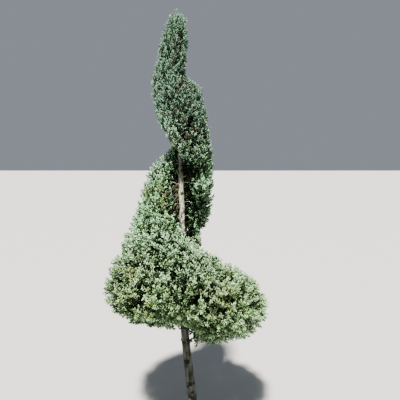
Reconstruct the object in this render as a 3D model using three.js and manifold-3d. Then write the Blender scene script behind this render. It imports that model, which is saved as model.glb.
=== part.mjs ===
// An overgrown arizona cypress that was trained as a spiral, at its real size.
// Millimetres, +Z up. The origin is the middle of the flat cut under the trunk, at ground level.
// Angles round the trunk run from the right (+X) by the back (+Y) and the left to the front.

import * as THREE from 'three';
import { mergeVertices } from 'three/addons/utils/BufferGeometryUtils.js';
import Module from 'manifold-3d';

const wasm = await Module();
wasm.setup();

const UP = new THREE.Vector3(0, 0, 1);
const BACK = new THREE.Vector3(0, 1, 0);
const TURN = 2 * Math.PI;
const GOLDEN_TURN = Math.PI * (3 - Math.sqrt(5));
const WELD = 1e-3;
const STEEP = 0.9;

// Repeatable chance: the seed of the tree, the step between its masses, and the generator
const SEED = 7;
const SEED_STEP = 101;
const RANDOM_FACTOR = 16807;
const RANDOM_MODULUS = 2147483647;

// Trunk: its line leans to the left in the lowest part, then rises almost straight
const TRUNK_TOP = 2245;
const TRUNK_LINE = [
  [0, 0, 0],
  [-19, 3, 180],
  [-41, 2, 370],
  [-64, -4, 620],
  [-74, 4, 1000],
  [-79, -5, 1400],
  [-89, 4, 1800],
  [-106, 1, 2060],
  [-98, 0, TRUNK_TOP],
];
const TRUNK_RADIUS = 28;
const TRUNK_TIP_RADIUS = 2.5;
const TRUNK_TAPER = 0.72;
const FLARE_SPREAD = 13;
const FLARE_HEIGHT = 60;
const FLARE_ROOTS = 5;
const FLARE_ROOT_RELIEF = 0.3;
const TRUNK_SIDES = 12;
const TRUNK_RINGS = 18;
const TRUNK_RING_EASE = 1.6;
const TRUNK_SAMPLES = 200;
const FOOT_DEPTH = 8;

// Crown: how far the foliage reaches from the trunk at each height, before the groove is cut
const CROWN_PROFILE = [
  [600, 0],
  [640, 190],
  [690, 340],
  [780, 440],
  [870, 468],
  [990, 420],
  [1130, 345],
  [1350, 245],
  [1550, 188],
  [1800, 157],
  [1990, 134],
  [2120, 104],
  [2250, 80],
  [2330, 50],
  [2380, 14],
  [2386, 0],
];

// Groove: the bare spiral between the turns of foliage. It winds down from the front of the tip
// by the right side, the back, the left, the front and the right again to the back, and closes.
// The lists give it at those seven quarter turns; the foliage left in it fills it at its ends.
const GROOVE_START_HEIGHT = 2365;
const GROOVE_TURN_DROP = 940;
const GROOVE_START_ANGLE = -TURN / 4;
const GROOVE_TURNS = 1.5;
const GROOVE_HALF_HEIGHT = [330, 120, 170, 112, 185, 125, 95];
const GROOVE_LEFT_FOLIAGE = [90, 52, 85, 38, 0, 0, 300];
const GROOVE_LEDGE_SLOPE = [60, 50, 60, 35, 150, 230, 200];
const GROOVE_UNDERSIDE_SLOPE = [190, 190, 190, 300, 110, 360, 330];
const GROOVE_BARE_BELOW = 40;

// The skirt is uneven: it hangs lowest and reaches furthest on the right, and least in front.
// The lists give it at each eighth of a turn, from the right by the back and the left
const SKIRT_SAG = [115, 55, 20, 5, 10, -50, -90, 45];
const SKIRT_SPREAD = [1.07, 1, 0.98, 0.98, 0.98, 0.93, 0.88, 0.99];
const SKIRT_BELOW = 1000;
const SKIRT_FADE = 200;

// Levels of foliage masses up the trunk: how many stand round it, how far out, how far the
// level winds down as it goes round, how many twigs each mass carries and how long a spray is
const LEVELS = [
  { name: 'under', height: 740, masses: 4, out: 0.4, turn: 0, drop: 20, twigs: 4, spray: 130 },
  { name: 'rim', height: 855, masses: 8, out: 0.64, turn: 0.5, drop: 0, twigs: 8, spray: 180 },
  { name: 'skirt', height: 1015, masses: 6, out: 0.6, turn: 0.25, drop: 40, twigs: 7, spray: 145 },
  { name: 'hip', height: 1185, masses: 4, out: 0.55, turn: 0, drop: 100, twigs: 8, spray: 135 },
  { name: 'band', height: 1345, masses: 3, out: 0.53, turn: 0, drop: 100, twigs: 7, spray: 125 },
  { name: 'waist', height: 1505, masses: 3, out: 0.52, turn: 0, drop: 100, twigs: 7, spray: 120 },
  { name: 'neck', height: 1690, masses: 3, out: 0.5, turn: 0, drop: 120, twigs: 7, spray: 125 },
  { name: 'shoulder', height: 1880, masses: 3, out: 0.46, turn: 0, drop: 130, twigs: 9, spray: 130 },
  { name: 'column', height: 2075, masses: 3, out: 0.42, turn: 0, drop: 130, twigs: 9, spray: 130 },
];
const TIP = { name: 'tip', height: 2258, twigs: 9, spray: 120 };
const TIP_STEM_LENGTH = 45;
const RIM_STAGGER = 24;
const SEED_SPARE_COVER = 18;
const SEED_SHIFT_STEP = 8;
const SEED_SHIFT_LIMIT = 96;

// Room that each solid keeps from its neighbours
const SEAT_GAP = 0.3;
const CELL_MARGIN = 2;
const TRUNK_CHANNEL = 6;
const CHANNEL_SIDES = 8;
const CHANNEL_RINGS = 18;
const BOUGH_CHANNEL = 5;
const SNAG_CHANNEL = 3;
const SPRAY_OVERREACH = 4;

// Cores of the masses
const CORE_FINENESS = 1;
const CORE_LIMIT = 165;
const CORE_STEP = 3;
const CORE_SMALLEST = 8;
const CORE_CELL_MARGIN = 2.5;
const CORE_COVER = [[1100, 0.17], [1700, 0.13]];
const CORE_LEAST_COVER = [[2200, 12], [2320, 26]];
const CORE_LUMPS = [[1000, 0.2], [1600, 0.1]];

// Boughs, stems and twigs
const BRANCH_BEND = { along: 0.55, rise: 0.35 };
const BOUGH_DISTANCE = 215;
const BOUGH_SHORTEST = 0.3;
const BOUGH_LONGEST = 0.8;
const BOUGH_END_STEP = 0.02;
const BOUGH_RISES = [0.3, 0.56];
const BOUGH_BASE_RADIUS = 9.5;
const BOUGH_TIP_RADIUS = 5.5;
const BOUGH_SIDES = 6;
const BOUGH_RINGS = 3;
const BOUGH_CELL_MARGIN = 14;
const SNAGS = [
  { height: 1475, angle: -0.72, length: 190, rise: -4 },
  { height: 1462, angle: 3.35, length: 42, rise: 14 },
  { height: 1362, angle: -0.75, length: 48, rise: 12 },
];
const SNAG_RADIUS = 3.2;
const SNAG_TIP_RADIUS = 1.6;
const SNAG_SIDES = 5;
const STEM_RISE = 0.45;
const STEM_RADIUS = 5;
const STEM_TIP_RADIUS = 3;
const STEM_SIDES = 5;
const STEM_RINGS = 2;
const TWIG_TRIES = 97;
const TWIG_STRIDE = 37;
const TWIG_RADIUS = 3.4;
const TWIG_TIP_RADIUS = 1.8;
const TWIG_SIDES = 3;
const TWIG_WANDER = 0.5;
const TWIG_LIFT = [[750, 0.1], [1200, 0.7], [1700, 1.5]];

// Sprays: toothed blades in the plane of the twig
const SPRAY_TEETH = [1, 2];
const SPRAY_TOOTH = { width: 0.5, narrowing: 0.15, from: 0.18, span: 0.76 };
const SPRAY_NOTCH = { width: 0.15, narrowing: 0.03, from: 0.14, span: 0.74 };
const SPRAY_SHORTEST = 42;
const SPRAY_LENGTHS = [0.85, 1.15];
const SPRAY_ROLL = 0.7;
const SPRAY_SPACING = 0.3;
const SPRAY_SLENDERNESS = 0.66;
const SPRAY_THICKNESS = 0.1;
const SPRAY_MIDDLE = 0.35;
const SPRAY_ROOT_DEPTH = 16;

// Finishes
const FOLIAGE_COLOUR = 0x8fae90;
const FOLIAGE_ROUGHNESS = 0.85;
const BARK_COLOUR = 0x9d8a76;
const BARK_ROUGHNESS = 0.9;

function seededRandom(seed) {
  let state = seed;
  return () => {
    state = (state * RANDOM_FACTOR) % RANDOM_MODULUS;
    return state / RANDOM_MODULUS;
  };
}

function interpolate(pairs, at) {
  if (at <= pairs[0][0]) return pairs[0][1];
  for (let i = 1; i < pairs.length; i += 1) {
    const [start, low] = pairs[i - 1];
    const [end, high] = pairs[i];
    if (at <= end) return low + ((high - low) * (at - start)) / (end - start);
  }
  return pairs[pairs.length - 1][1];
}

function quarterValue(values, angle) {
  const quarter = angle / (TURN / 4);
  return interpolate(values.map((value, i) => [i, value]), quarter);
}

// A value given at even steps all the way round
function valueRound(values, angle) {
  const step = ((((angle % TURN) + TURN) % TURN) * values.length) / TURN;
  return interpolate([...values, values[0]].map((value, i) => [i, value]), step);
}

// Closed solids and their meshes

function solidOf(geometry) {
  const bare = geometry.index ? geometry.clone() : geometry;
  bare.deleteAttribute('normal');
  bare.deleteAttribute('uv');
  const closed = mergeVertices(bare, WELD);
  const vertProperties = Float32Array.from(closed.attributes.position.array);
  const triVerts = Uint32Array.from(closed.index.array);
  return new wasm.Manifold(new wasm.Mesh({ numProp: 3, vertProperties, triVerts }));
}

function signedVolume(points, triangle) {
  const [a, b, c] = triangle.map((i) => new THREE.Vector3().fromArray(points, 3 * i));
  return a.dot(b.cross(c)) / 6;
}

// The largest closed surface of a solid: scraps and sealed hollows are left behind
function largestPiece(solid) {
  const mesh = solid.getMesh();
  const parent = Array.from({ length: mesh.vertProperties.length / 3 }, (_, i) => i);
  const rootOf = (i) => {
    let root = i;
    while (parent[root] !== root) root = parent[root];
    parent[i] = root;
    return root;
  };
  const triangles = [];
  for (let i = 0; i < mesh.triVerts.length; i += 3) {
    const triangle = Array.from(mesh.triVerts.slice(i, i + 3));
    triangles.push(triangle);
    parent[rootOf(triangle[1])] = rootOf(triangle[0]);
    parent[rootOf(triangle[2])] = rootOf(triangle[0]);
  }
  const volumes = new Map();
  for (const triangle of triangles) {
    const root = rootOf(triangle[0]);
    volumes.set(root, (volumes.get(root) ?? 0) + signedVolume(mesh.vertProperties, triangle));
  }
  const [largest] = [...volumes].reduce((best, entry) => (entry[1] > best[1] ? entry : best));
  const geometry = new THREE.BufferGeometry();
  geometry.setAttribute('position', new THREE.BufferAttribute(mesh.vertProperties, 3));
  geometry.setIndex(triangles.filter((triangle) => rootOf(triangle[0]) === largest).flat());
  return mergeVertices(geometry, WELD);
}

// Tapering limbs along a curve

function limbGeometry(curve, { from = 0, to = 1, radius, sides, rings, ease = 1, grow = 0 }) {
  const geometry = new THREE.CylinderGeometry(1, 1, 1, sides, rings);
  const reference = Math.abs(curve.getTangentAt(from).z) > STEEP ? BACK : UP;
  const position = geometry.attributes.position;
  for (let i = 0; i < position.count; i += 1) {
    const ring = Math.round((position.getY(i) + 0.5) * rings);
    const share = (ring / rings) ** ease;
    const along = from + (to - from) * share;
    const tangent = curve.getTangentAt(along);
    const side = reference.clone().cross(tangent).normalize();
    const other = side.clone().cross(tangent);
    const centre = curve.getPointAt(along);
    if (ring === 0) centre.addScaledVector(tangent, -grow);
    if (ring === rings) centre.addScaledVector(tangent, grow);
    const angle = Math.atan2(position.getX(i), position.getZ(i));
    const reach = radius(share, angle) + grow;
    centre.addScaledVector(side, position.getX(i) * reach);
    centre.addScaledVector(other, position.getZ(i) * reach);
    position.setXYZ(i, centre.x, centre.y, centre.z);
  }
  return geometry;
}

function taper(start, end) {
  return (share) => start + (end - start) * share;
}

// Trunk

const trunkLine = new THREE.CatmullRomCurve3(
  TRUNK_LINE.map(([x, y, z]) => new THREE.Vector3(x, y, z)),
);
const trunkSamples = trunkLine.getSpacedPoints(TRUNK_SAMPLES);

function trunkCentre(height) {
  const above = trunkSamples.findIndex((point) => point.z > height);
  if (above < 0) return new THREE.Vector2(...trunkSamples[trunkSamples.length - 1].toArray());
  if (above === 0) return new THREE.Vector2(0, 0);
  const low = trunkSamples[above - 1];
  const high = trunkSamples[above];
  const share = (height - low.z) / (high.z - low.z);
  return new THREE.Vector2(low.x + (high.x - low.x) * share, low.y + (high.y - low.y) * share);
}

function trunkRadius(height) {
  const left = Math.max(0, 1 - height / TRUNK_TOP);
  return TRUNK_TIP_RADIUS + (TRUNK_RADIUS - TRUNK_TIP_RADIUS) * left ** TRUNK_TAPER;
}

function flareRadius(height, angle) {
  const roots = 1 + FLARE_ROOT_RELIEF * Math.cos(FLARE_ROOTS * angle);
  return FLARE_SPREAD * roots * Math.exp(-height / FLARE_HEIGHT);
}

function trunkGeometry({ sides = TRUNK_SIDES, rings = TRUNK_RINGS, grow = 0 }) {
  return limbGeometry(trunkLine, {
    radius: (share, angle) => {
      const height = share * TRUNK_TOP;
      return trunkRadius(height) + flareRadius(height, angle);
    },
    sides,
    rings,
    ease: TRUNK_RING_EASE,
    grow,
  });
}

// The trunk with its lowest ring laid flat at ground level
function footedTrunkGeometry() {
  const geometry = trunkGeometry({});
  const position = geometry.attributes.position;
  for (let i = 0; i < position.count; i += 1) {
    if (position.getZ(i) < FOOT_DEPTH) position.setZ(i, 0);
  }
  return geometry;
}

// Crown space

function crownReach(angle, height) {
  const uneven = THREE.MathUtils.clamp((SKIRT_BELOW - height) / SKIRT_FADE, 0, 1);
  const sag = uneven * valueRound(SKIRT_SAG, angle);
  const spread = 1 + uneven * (valueRound(SKIRT_SPREAD, angle) - 1);
  let reach = spread * interpolate(CROWN_PROFILE, height + sag);
  const turned = (angle - GROOVE_START_ANGLE + TURN) % TURN;
  for (let along = turned; along < GROOVE_TURNS * TURN; along += TURN) {
    const half = quarterValue(GROOVE_HALF_HEIGHT, along);
    const middle = GROOVE_START_HEIGHT - (GROOVE_TURN_DROP * along) / TURN;
    const offset = height - middle;
    const slope = quarterValue(offset < 0 ? GROOVE_LEDGE_SLOPE : GROOVE_UNDERSIDE_SLOPE, along);
    const share = THREE.MathUtils.clamp((Math.abs(offset) - half) / slope, 0, 1);
    const inside = Math.min(reach, quarterValue(GROOVE_LEFT_FOLIAGE, along));
    reach = inside + (reach - inside) * Math.sqrt(1 - (1 - share) ** 2);
  }
  return reach;
}

function inCrown(point, cover) {
  const centre = trunkCentre(point.z);
  const x = point.x - centre.x;
  const y = point.y - centre.y;
  const angle = Math.atan2(y, x);
  const out = Math.hypot(x, y);
  const steps = cover > 0 ? [-cover, 0, cover] : [0];
  return steps.every((step) => out + cover < crownReach(angle, point.z + step));
}

function outFromTrunk(point) {
  const centre = trunkCentre(point.z);
  return Math.hypot(point.x - centre.x, point.y - centre.y);
}

// How deep under the crown's outline a core stays, to leave the sprays their room
function coreCover(point) {
  const share = interpolate(CORE_COVER, point.z);
  return Math.max(interpolate(CORE_LEAST_COVER, point.z), share * outFromTrunk(point));
}

// Where the masses stand

function grooveAlong(height) {
  const turns = (GROOVE_START_HEIGHT - height) / GROOVE_TURN_DROP;
  return TURN * THREE.MathUtils.clamp(turns, 0, GROOVE_TURNS);
}

function seedPoint(level, angle, height) {
  const centre = trunkCentre(height);
  const out = level.out * crownReach(angle, height);
  return new THREE.Vector3(
    centre.x + out * Math.cos(angle),
    centre.y + out * Math.sin(angle),
    height,
  );
}

// The height nearest to the wanted one where foliage covers a seed on all sides
function settledSeed(level, angle, height) {
  for (let step = 0; step <= SEED_SHIFT_LIMIT; step += SEED_SHIFT_STEP) {
    for (const way of [-1, 1]) {
      const seed = seedPoint(level, angle, height + way * step);
      if (inCrown(seed, coreCover(seed) + SEED_SPARE_COVER)) return seed;
    }
  }
  return null;
}

// The masses of a level share out the arc that the groove leaves
function levelSeeds(level) {
  const along = grooveAlong(level.height);
  const groove = GROOVE_START_ANGLE + along;
  const bare = quarterValue(GROOVE_LEFT_FOLIAGE, along) < GROOVE_BARE_BELOW;
  const half = bare ? (quarterValue(GROOVE_HALF_HEIGHT, along) * TURN) / GROOVE_TURN_DROP : 0;
  const arc = TURN - 2 * half;
  return Array.from({ length: level.masses }, (_, i) => {
    const angle = (groove + half + (arc * (i + 0.5 + level.turn)) / level.masses) % TURN;
    const stagger = level.drop ? 0 : RIM_STAGGER * (i % 2 ? 1 : -1);
    const height = level.height + level.drop * (0.5 - (i + 0.5) / level.masses) + stagger;
    return {
      name: `foliage_${level.name}_${i + 1}`,
      twigs: level.twigs,
      spray: level.spray,
      rise: BOUGH_RISES[i % 2],
      seed: settledSeed(level, angle, height),
    };
  }).filter((mass) => mass.seed);
}

function tipSeed() {
  const centre = trunkCentre(TIP.height);
  const seed = new THREE.Vector3(centre.x, centre.y, TIP.height);
  return { ...TIP, name: `foliage_${TIP.name}`, seed };
}

const masses = [...LEVELS.flatMap(levelSeeds), tipSeed()];
for (const mass of masses) mass.out = outFromTrunk(mass.seed);

// A mass keeps to the points that are nearer to its own seed than to any other
function inCell(mass, point, margin) {
  const own = mass.seed.distanceToSquared(point);
  return masses.every((other) => {
    if (other === mass) return true;
    const apart = 2 * mass.seed.distanceTo(other.seed);
    return (other.seed.distanceToSquared(point) - own) / apart > margin;
  });
}

function inSpace(mass, point) {
  return inCell(mass, point, CELL_MARGIN) && inCrown(point, 0);
}

// Boughs and stems

function branchLine(mass, rise) {
  const height = mass.seed.z - rise * mass.out;
  const centre = trunkCentre(height);
  const start = new THREE.Vector3(centre.x, centre.y, height);
  const bend = start.clone().lerp(mass.seed, BRANCH_BEND.along);
  bend.z = height + (mass.seed.z - height) * BRANCH_BEND.rise;
  return new THREE.QuadraticBezierCurve3(start, bend, mass.seed);
}

function boughEnd(mass, curve) {
  let end = BOUGH_SHORTEST;
  while (end < BOUGH_LONGEST && !inCell(mass, curve.getPointAt(end), BOUGH_CELL_MARGIN)) {
    end += BOUGH_END_STEP;
  }
  return end;
}

function boughGeometry(bough, grow) {
  return limbGeometry(bough.curve, {
    to: bough.end,
    radius: taper(BOUGH_BASE_RADIUS, BOUGH_TIP_RADIUS),
    sides: BOUGH_SIDES,
    rings: BOUGH_RINGS,
    grow,
  });
}

function stemGeometry(mass) {
  if (mass.bough) {
    const from = mass.bough.end + SEAT_GAP / mass.bough.curve.getLength();
    return limbGeometry(mass.bough.curve, {
      from,
      radius: taper(BOUGH_TIP_RADIUS, STEM_TIP_RADIUS),
      sides: BOUGH_SIDES,
      rings: STEM_RINGS,
    });
  }
  return limbGeometry(mass.stemLine, {
    radius: taper(STEM_RADIUS, STEM_TIP_RADIUS),
    sides: STEM_SIDES,
    rings: STEM_RINGS,
  });
}

// Short bare side twigs that cross the groove
function snagCurve({ height, angle, length, rise }) {
  const centre = trunkCentre(height);
  const start = new THREE.Vector3(centre.x, centre.y, height);
  const reach = trunkRadius(height) + length;
  const end = start.clone();
  end.add(new THREE.Vector3(reach * Math.cos(angle), reach * Math.sin(angle), rise));
  return new THREE.LineCurve3(start, end);
}

function snagGeometry(curve, grow) {
  return limbGeometry(curve, {
    radius: taper(SNAG_RADIUS, SNAG_TIP_RADIUS),
    sides: SNAG_SIDES,
    rings: 1,
    grow,
  });
}

const snags = SNAGS.map(snagCurve);

for (const mass of masses) {
  if (mass.out > BOUGH_DISTANCE) {
    const curve = branchLine(mass, mass.rise);
    mass.bough = { curve, end: boughEnd(mass, curve) };
  } else if (mass.out > 0) {
    mass.stemLine = branchLine(mass, STEM_RISE);
  } else {
    const tip = trunkLine.getPointAt(1);
    const foot = tip.clone().addScaledVector(UP, SEAT_GAP);
    mass.stemLine = new THREE.LineCurve3(foot, tip.clone().addScaledVector(UP, TIP_STEM_LENGTH));
  }
}
const boughs = masses.filter((mass) => mass.bough).map((mass) => mass.bough);

// The trunk, boughs and snags with the room round them that foliage stays out of
const channels = [
  solidOf(trunkGeometry({ sides: CHANNEL_SIDES, rings: CHANNEL_RINGS, grow: TRUNK_CHANNEL })),
  ...boughs.map((bough) => solidOf(boughGeometry(bough, BOUGH_CHANNEL))),
  ...snags.map((curve) => solidOf(snagGeometry(curve, SNAG_CHANNEL))),
];
const limbRoom = channels.reduce((joined, channel) => joined.add(channel));

function clearOfLimbs(solid) {
  return limbRoom.intersect(solid).getMesh().triVerts.length === 0;
}

// Cores

function march(start, direction, limit, isInside) {
  let length = 0;
  const ahead = () => start.clone().addScaledVector(direction, length + CORE_STEP);
  while (length < limit && isInside(ahead())) length += CORE_STEP;
  return length;
}

function coreGeometry(mass, random) {
  const geometry = roundBlank();
  const position = geometry.attributes.position;
  const direction = new THREE.Vector3();
  for (let i = 0; i < position.count; i += 1) {
    direction.fromBufferAttribute(position, i).normalize();
    const length = march(mass.seed, direction, CORE_LIMIT, (point) => (
      inCell(mass, point, CORE_CELL_MARGIN) && inCrown(point, coreCover(point))
    ));
    const lump = 1 - interpolate(CORE_LUMPS, mass.seed.z) * random();
    const reach = Math.max(CORE_SMALLEST, length * lump);
    const vertex = mass.seed.clone().addScaledVector(direction, reach);
    position.setXYZ(i, vertex.x, vertex.y, vertex.z);
  }
  return geometry;
}

// The ball that a core is drawn out of
function roundBlank() {
  const geometry = new THREE.IcosahedronGeometry(1, CORE_FINENESS);
  geometry.deleteAttribute('normal');
  geometry.deleteAttribute('uv');
  return mergeVertices(geometry);
}

// Sprays and twigs

// One side of a spray's outline, from its root to its tip: a tooth and a notch, and so on
function sprayEdge(teeth) {
  const points = [];
  for (let i = 0; i < teeth; i += 1) {
    const high = (i + 1) / (teeth + 1);
    for (const { width, narrowing, from, span } of [SPRAY_TOOTH, SPRAY_NOTCH]) {
      points.push([width - narrowing * i, from + span * high]);
    }
  }
  return points;
}

// A toothed blade with a raised midrib: thin at its edges and thickest at its middle
function sprayGeometry({ root, direction, facing, roll, length, teeth }) {
  const width = length * SPRAY_SLENDERNESS;
  const edge = sprayEdge(teeth);
  const left = edge.map(([x, y]) => [-x, y]).reverse();
  const outline = [[0, 0], ...edge, [0, 1], ...left];
  const points = outline.map(([x, y]) => [x * width, y * length, 0]);
  const front = points.push([0, length * SPRAY_MIDDLE, (length * SPRAY_THICKNESS) / 2]) - 1;
  const rear = points.push([0, length * SPRAY_MIDDLE, (-length * SPRAY_THICKNESS) / 2]) - 1;
  const faces = outline.flatMap((_, i) => {
    const next = (i + 1) % outline.length;
    return [i, next, front, next, i, rear];
  });
  const geometry = new THREE.BufferGeometry();
  geometry.setAttribute('position', new THREE.Float32BufferAttribute(points.flat(), 3));
  geometry.setIndex(faces);
  const across = Math.abs(facing.dot(direction)) < STEEP ? facing : BACK;
  const side = direction.clone().cross(across).normalize().applyAxisAngle(direction, roll);
  const normal = side.clone().cross(direction);
  geometry.applyMatrix4(new THREE.Matrix4().makeBasis(side, direction, normal).setPosition(root));
  return geometry;
}

function sprayFits(mass, geometry) {
  const position = geometry.attributes.position;
  const point = new THREE.Vector3();
  for (let i = 0; i < position.count; i += 1) {
    point.fromBufferAttribute(position, i);
    if (!inCell(mass, point, CELL_MARGIN) || !inCrown(point, -SPRAY_OVERREACH)) return false;
  }
  return true;
}

function twigGeometry(start, end) {
  return limbGeometry(new THREE.LineCurve3(start, end), {
    radius: taper(TWIG_RADIUS, TWIG_TIP_RADIUS),
    sides: TWIG_SIDES,
    rings: 1,
  });
}

function fibonacciDirection(index, count, random) {
  const z = 1 - (2 * (index + 0.5)) / count;
  const angle = index * GOLDEN_TURN + TWIG_WANDER * (random() - 0.5);
  const flat = Math.sqrt(1 - z * z);
  return new THREE.Vector3(flat * Math.cos(angle), flat * Math.sin(angle), z);
}

// The first twig of a mass carries its reach: straight out, or straight up at the tip
function awayFromTrunk(mass) {
  if (mass.out === 0) return UP.clone();
  const centre = trunkCentre(mass.seed.z);
  return new THREE.Vector3(mass.seed.x - centre.x, mass.seed.y - centre.y, 0).normalize();
}

// How far the surface of a core lies from its seed in one direction
function coreSurface(mass, core, direction) {
  const ray = new THREE.Ray(mass.seed, direction);
  const corners = [0, 1, 2].map(() => new THREE.Vector3());
  const hit = new THREE.Vector3();
  for (let i = 0; i < core.index.count; i += 3) {
    corners.forEach((corner, k) => {
      corner.fromBufferAttribute(core.attributes.position, core.index.getX(i + k));
    });
    if (ray.intersectTriangle(...corners, false, hit)) return hit.distanceTo(mass.seed);
  }
  return 0;
}

// A twig from the stem's end out through the core, with a spray at its tip that turns upwards
function growTwig(mass, core, outward, taken, random) {
  const rootDistance = coreSurface(mass, core, outward) - SPRAY_ROOT_DEPTH;
  const root = mass.seed.clone().addScaledVector(outward, rootDistance);
  if (taken.some((other) => other.distanceTo(root) < SPRAY_SPACING * mass.spray)) return [];
  const lift = interpolate(TWIG_LIFT, mass.seed.z);
  const direction = outward.clone().addScaledVector(UP, lift).normalize();
  const [shortest, longest] = SPRAY_LENGTHS;
  const limit = mass.spray * (shortest + (longest - shortest) * random());
  const length = march(root, direction, limit, (point) => inSpace(mass, point));
  if (length < SPRAY_SHORTEST) return [];
  const teeth = SPRAY_TEETH[Math.round(random())];
  const roll = SPRAY_ROLL * (2 * random() - 1);
  const spray = sprayGeometry({ root, direction, facing: outward, roll, length, teeth });
  if (!sprayFits(mass, spray)) return [];
  const knot = root.clone().addScaledVector(direction, SPRAY_ROOT_DEPTH / 2);
  const pieces = [spray, twigGeometry(mass.seed, knot)].map(solidOf);
  if (!pieces.every(clearOfLimbs)) return [];
  taken.push(root);
  return pieces;
}

function massSolid(mass, index, seat) {
  const random = seededRandom(SEED + SEED_STEP * (index + 1));
  const core = coreGeometry(mass, random);
  let solid = solidOf(core).subtract(limbRoom);
  const stem = solidOf(stemGeometry(mass));
  solid = solid.add(mass.bough ? stem : stem.subtract(seat));
  const taken = [];
  for (let i = 0; i < TWIG_TRIES && taken.length < mass.twigs; i += 1) {
    const outward = i === 0
      ? awayFromTrunk(mass)
      : fibonacciDirection((i * TWIG_STRIDE) % TWIG_TRIES, TWIG_TRIES, random);
    for (const piece of growTwig(mass, core, outward, taken, random)) solid = solid.add(piece);
  }
  return solid;
}

// Materials

function foliageMaterial() {
  return new THREE.MeshStandardMaterial({
    color: FOLIAGE_COLOUR,
    roughness: FOLIAGE_ROUGHNESS,
    metalness: 0,
    flatShading: true,
  });
}

function barkMaterial() {
  return new THREE.MeshStandardMaterial({
    color: BARK_COLOUR,
    roughness: BARK_ROUGHNESS,
    metalness: 0,
    flatShading: true,
  });
}

// The tree

const tree = new THREE.Group();

function place(name, geometry, material) {
  const mesh = new THREE.Mesh(geometry, material);
  mesh.name = name;
  tree.add(mesh);
}

place('trunk', footedTrunkGeometry(), barkMaterial());

const trunkSeat = solidOf(trunkGeometry({ grow: SEAT_GAP }));
boughs.forEach((bough, i) => {
  const solid = solidOf(boughGeometry(bough, 0)).subtract(trunkSeat);
  place(`bough_${i + 1}`, largestPiece(solid), barkMaterial());
});

snags.forEach((curve, i) => {
  const solid = solidOf(snagGeometry(curve, 0)).subtract(trunkSeat);
  place(`snag_${i + 1}`, largestPiece(solid), barkMaterial());
});

masses.forEach((mass, i) => {
  place(mass.name, largestPiece(massSolid(mass, i, trunkSeat)), foliageMaterial());
});

export default tree;
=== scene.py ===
"""An overgrown arizona cypress that was trained as a spiral, with its bark and its foliage.

Metres, +Z up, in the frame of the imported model: the origin is the middle of the flat cut under
the trunk. Angles round the trunk run from the right (+X) by the back (+Y) and the left to the
front. The crown's outline, its bare groove and the places of the masses follow one rule, and
twigs and sprays of scale leaves grow on from them within the same reach.
"""

import math

import bpy
import numpy as np
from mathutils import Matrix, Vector, noise


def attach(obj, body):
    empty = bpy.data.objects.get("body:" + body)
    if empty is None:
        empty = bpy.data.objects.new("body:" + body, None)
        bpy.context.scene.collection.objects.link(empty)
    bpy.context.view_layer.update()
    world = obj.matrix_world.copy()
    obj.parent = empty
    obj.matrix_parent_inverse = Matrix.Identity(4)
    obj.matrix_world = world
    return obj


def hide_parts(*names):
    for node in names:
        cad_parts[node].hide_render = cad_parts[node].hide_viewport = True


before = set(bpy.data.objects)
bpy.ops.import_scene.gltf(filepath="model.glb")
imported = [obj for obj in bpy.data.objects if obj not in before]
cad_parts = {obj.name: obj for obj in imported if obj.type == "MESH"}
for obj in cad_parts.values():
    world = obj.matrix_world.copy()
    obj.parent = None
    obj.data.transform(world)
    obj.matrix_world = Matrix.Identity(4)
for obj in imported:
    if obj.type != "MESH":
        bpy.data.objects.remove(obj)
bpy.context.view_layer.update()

TURN = 2 * math.pi
GOLDEN_TURN = math.pi * (3 - math.sqrt(5))
SEED = 7

# A frame is turned from the upright, or from the way to the back where its own way is steep
UP = np.array([0.0, 0.0, 1.0])
BACK = np.array([0.0, 1.0, 0.0])
STEEP = 0.9

# Trunk
TRUNK_TOP = 2.245
TRUNK_LINE = np.array([
    (0.0, 0.0, 0.0),
    (-0.019, 0.003, 0.180),
    (-0.041, 0.002, 0.370),
    (-0.064, -0.004, 0.620),
    (-0.074, 0.004, 1.000),
    (-0.079, -0.005, 1.400),
    (-0.089, 0.004, 1.800),
    (-0.106, 0.001, 2.060),
    (-0.098, 0.0, TRUNK_TOP),
])
TRUNK_RADIUS = 0.028
TRUNK_TIP_RADIUS = 0.0025
TRUNK_TAPER = 0.72
FLARE_SPREAD = 0.013
FLARE_HEIGHT = 0.060
FLARE_ROOTS = 5
FLARE_ROOT_RELIEF = 0.3
TRUNK_SIDES = 56
TRUNK_RINGS = 560

# The peeled stretch of trunk. Its cream bark is also painted light, the sun on that stretch, and the
# darker bark below and above it is painted shade. Its heights, and how far it fades below and above
# them
PEELED_LIT_LOW = 1.22
PEELED_LIT_HIGH = 1.43
PEELED_LIT_FADES = (0.03, 0.10)

# Ramps of the cream bark, each a range and its share at the range's two ends: over the pattern of
# the flakes within the peeled stretch, and over the height on the whole trunk, where the cream that
# rises upwards is painted light on the shaded upper trunk
FLAKES_LEFT = (0.50, 0.57, 1.0, 0.30)
PAINTED_LIGHT_UPWARDS = (1.00, 1.48, 0.0, 0.24)

# Pruning scars on the trunk: height and angle of each
KNOTS = (
    (1.536, -1.11),
    (1.414, -1.27),
    (1.265, -2.75),
    (1.330, 1.20),
    (1.620, 2.60),
    (0.560, 2.90),
    (0.470, -0.90),
    (0.300, -2.05),
    (0.170, 1.60),
)
KNOT_RADIUS = 0.0092
KNOT_SIDES = 12
KNOT_COLLAR = 0.0036
KNOT_SPREAD = 0.0125

# Profile of a scar's dome: how far out of the trunk, and its share of the scar's radius
KNOT_DOME = ((-0.0060, 1.0), (0.0022, 1.0), (0.0036, 0.78), (0.0041, 0.40))

# Collars: how far above the foot of each branch the trunk swells and how much, both by its
# radius there, and over what angle
COLLAR_RISE = 0.3
COLLAR_ARC = 0.55
COLLAR_SWELLING = 0.16

# Bark relief: how far each pattern stands out by the limb's radius, how fine it is across and
# along Z, and where it starts. Boughs, stems and snags have it higher than the trunk.
STREAKS = {"amount": 0.034, "across": 95, "along": 16, "start": (0, 0)}
FLAKES = {"amount": 0.022, "across": 190, "along": 70, "start": (7, 0)}
LUMPS = {"amount": 0.050, "across": 22, "along": 11, "start": (0, 5)}
LIMB_RELIEF = 1.4

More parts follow.
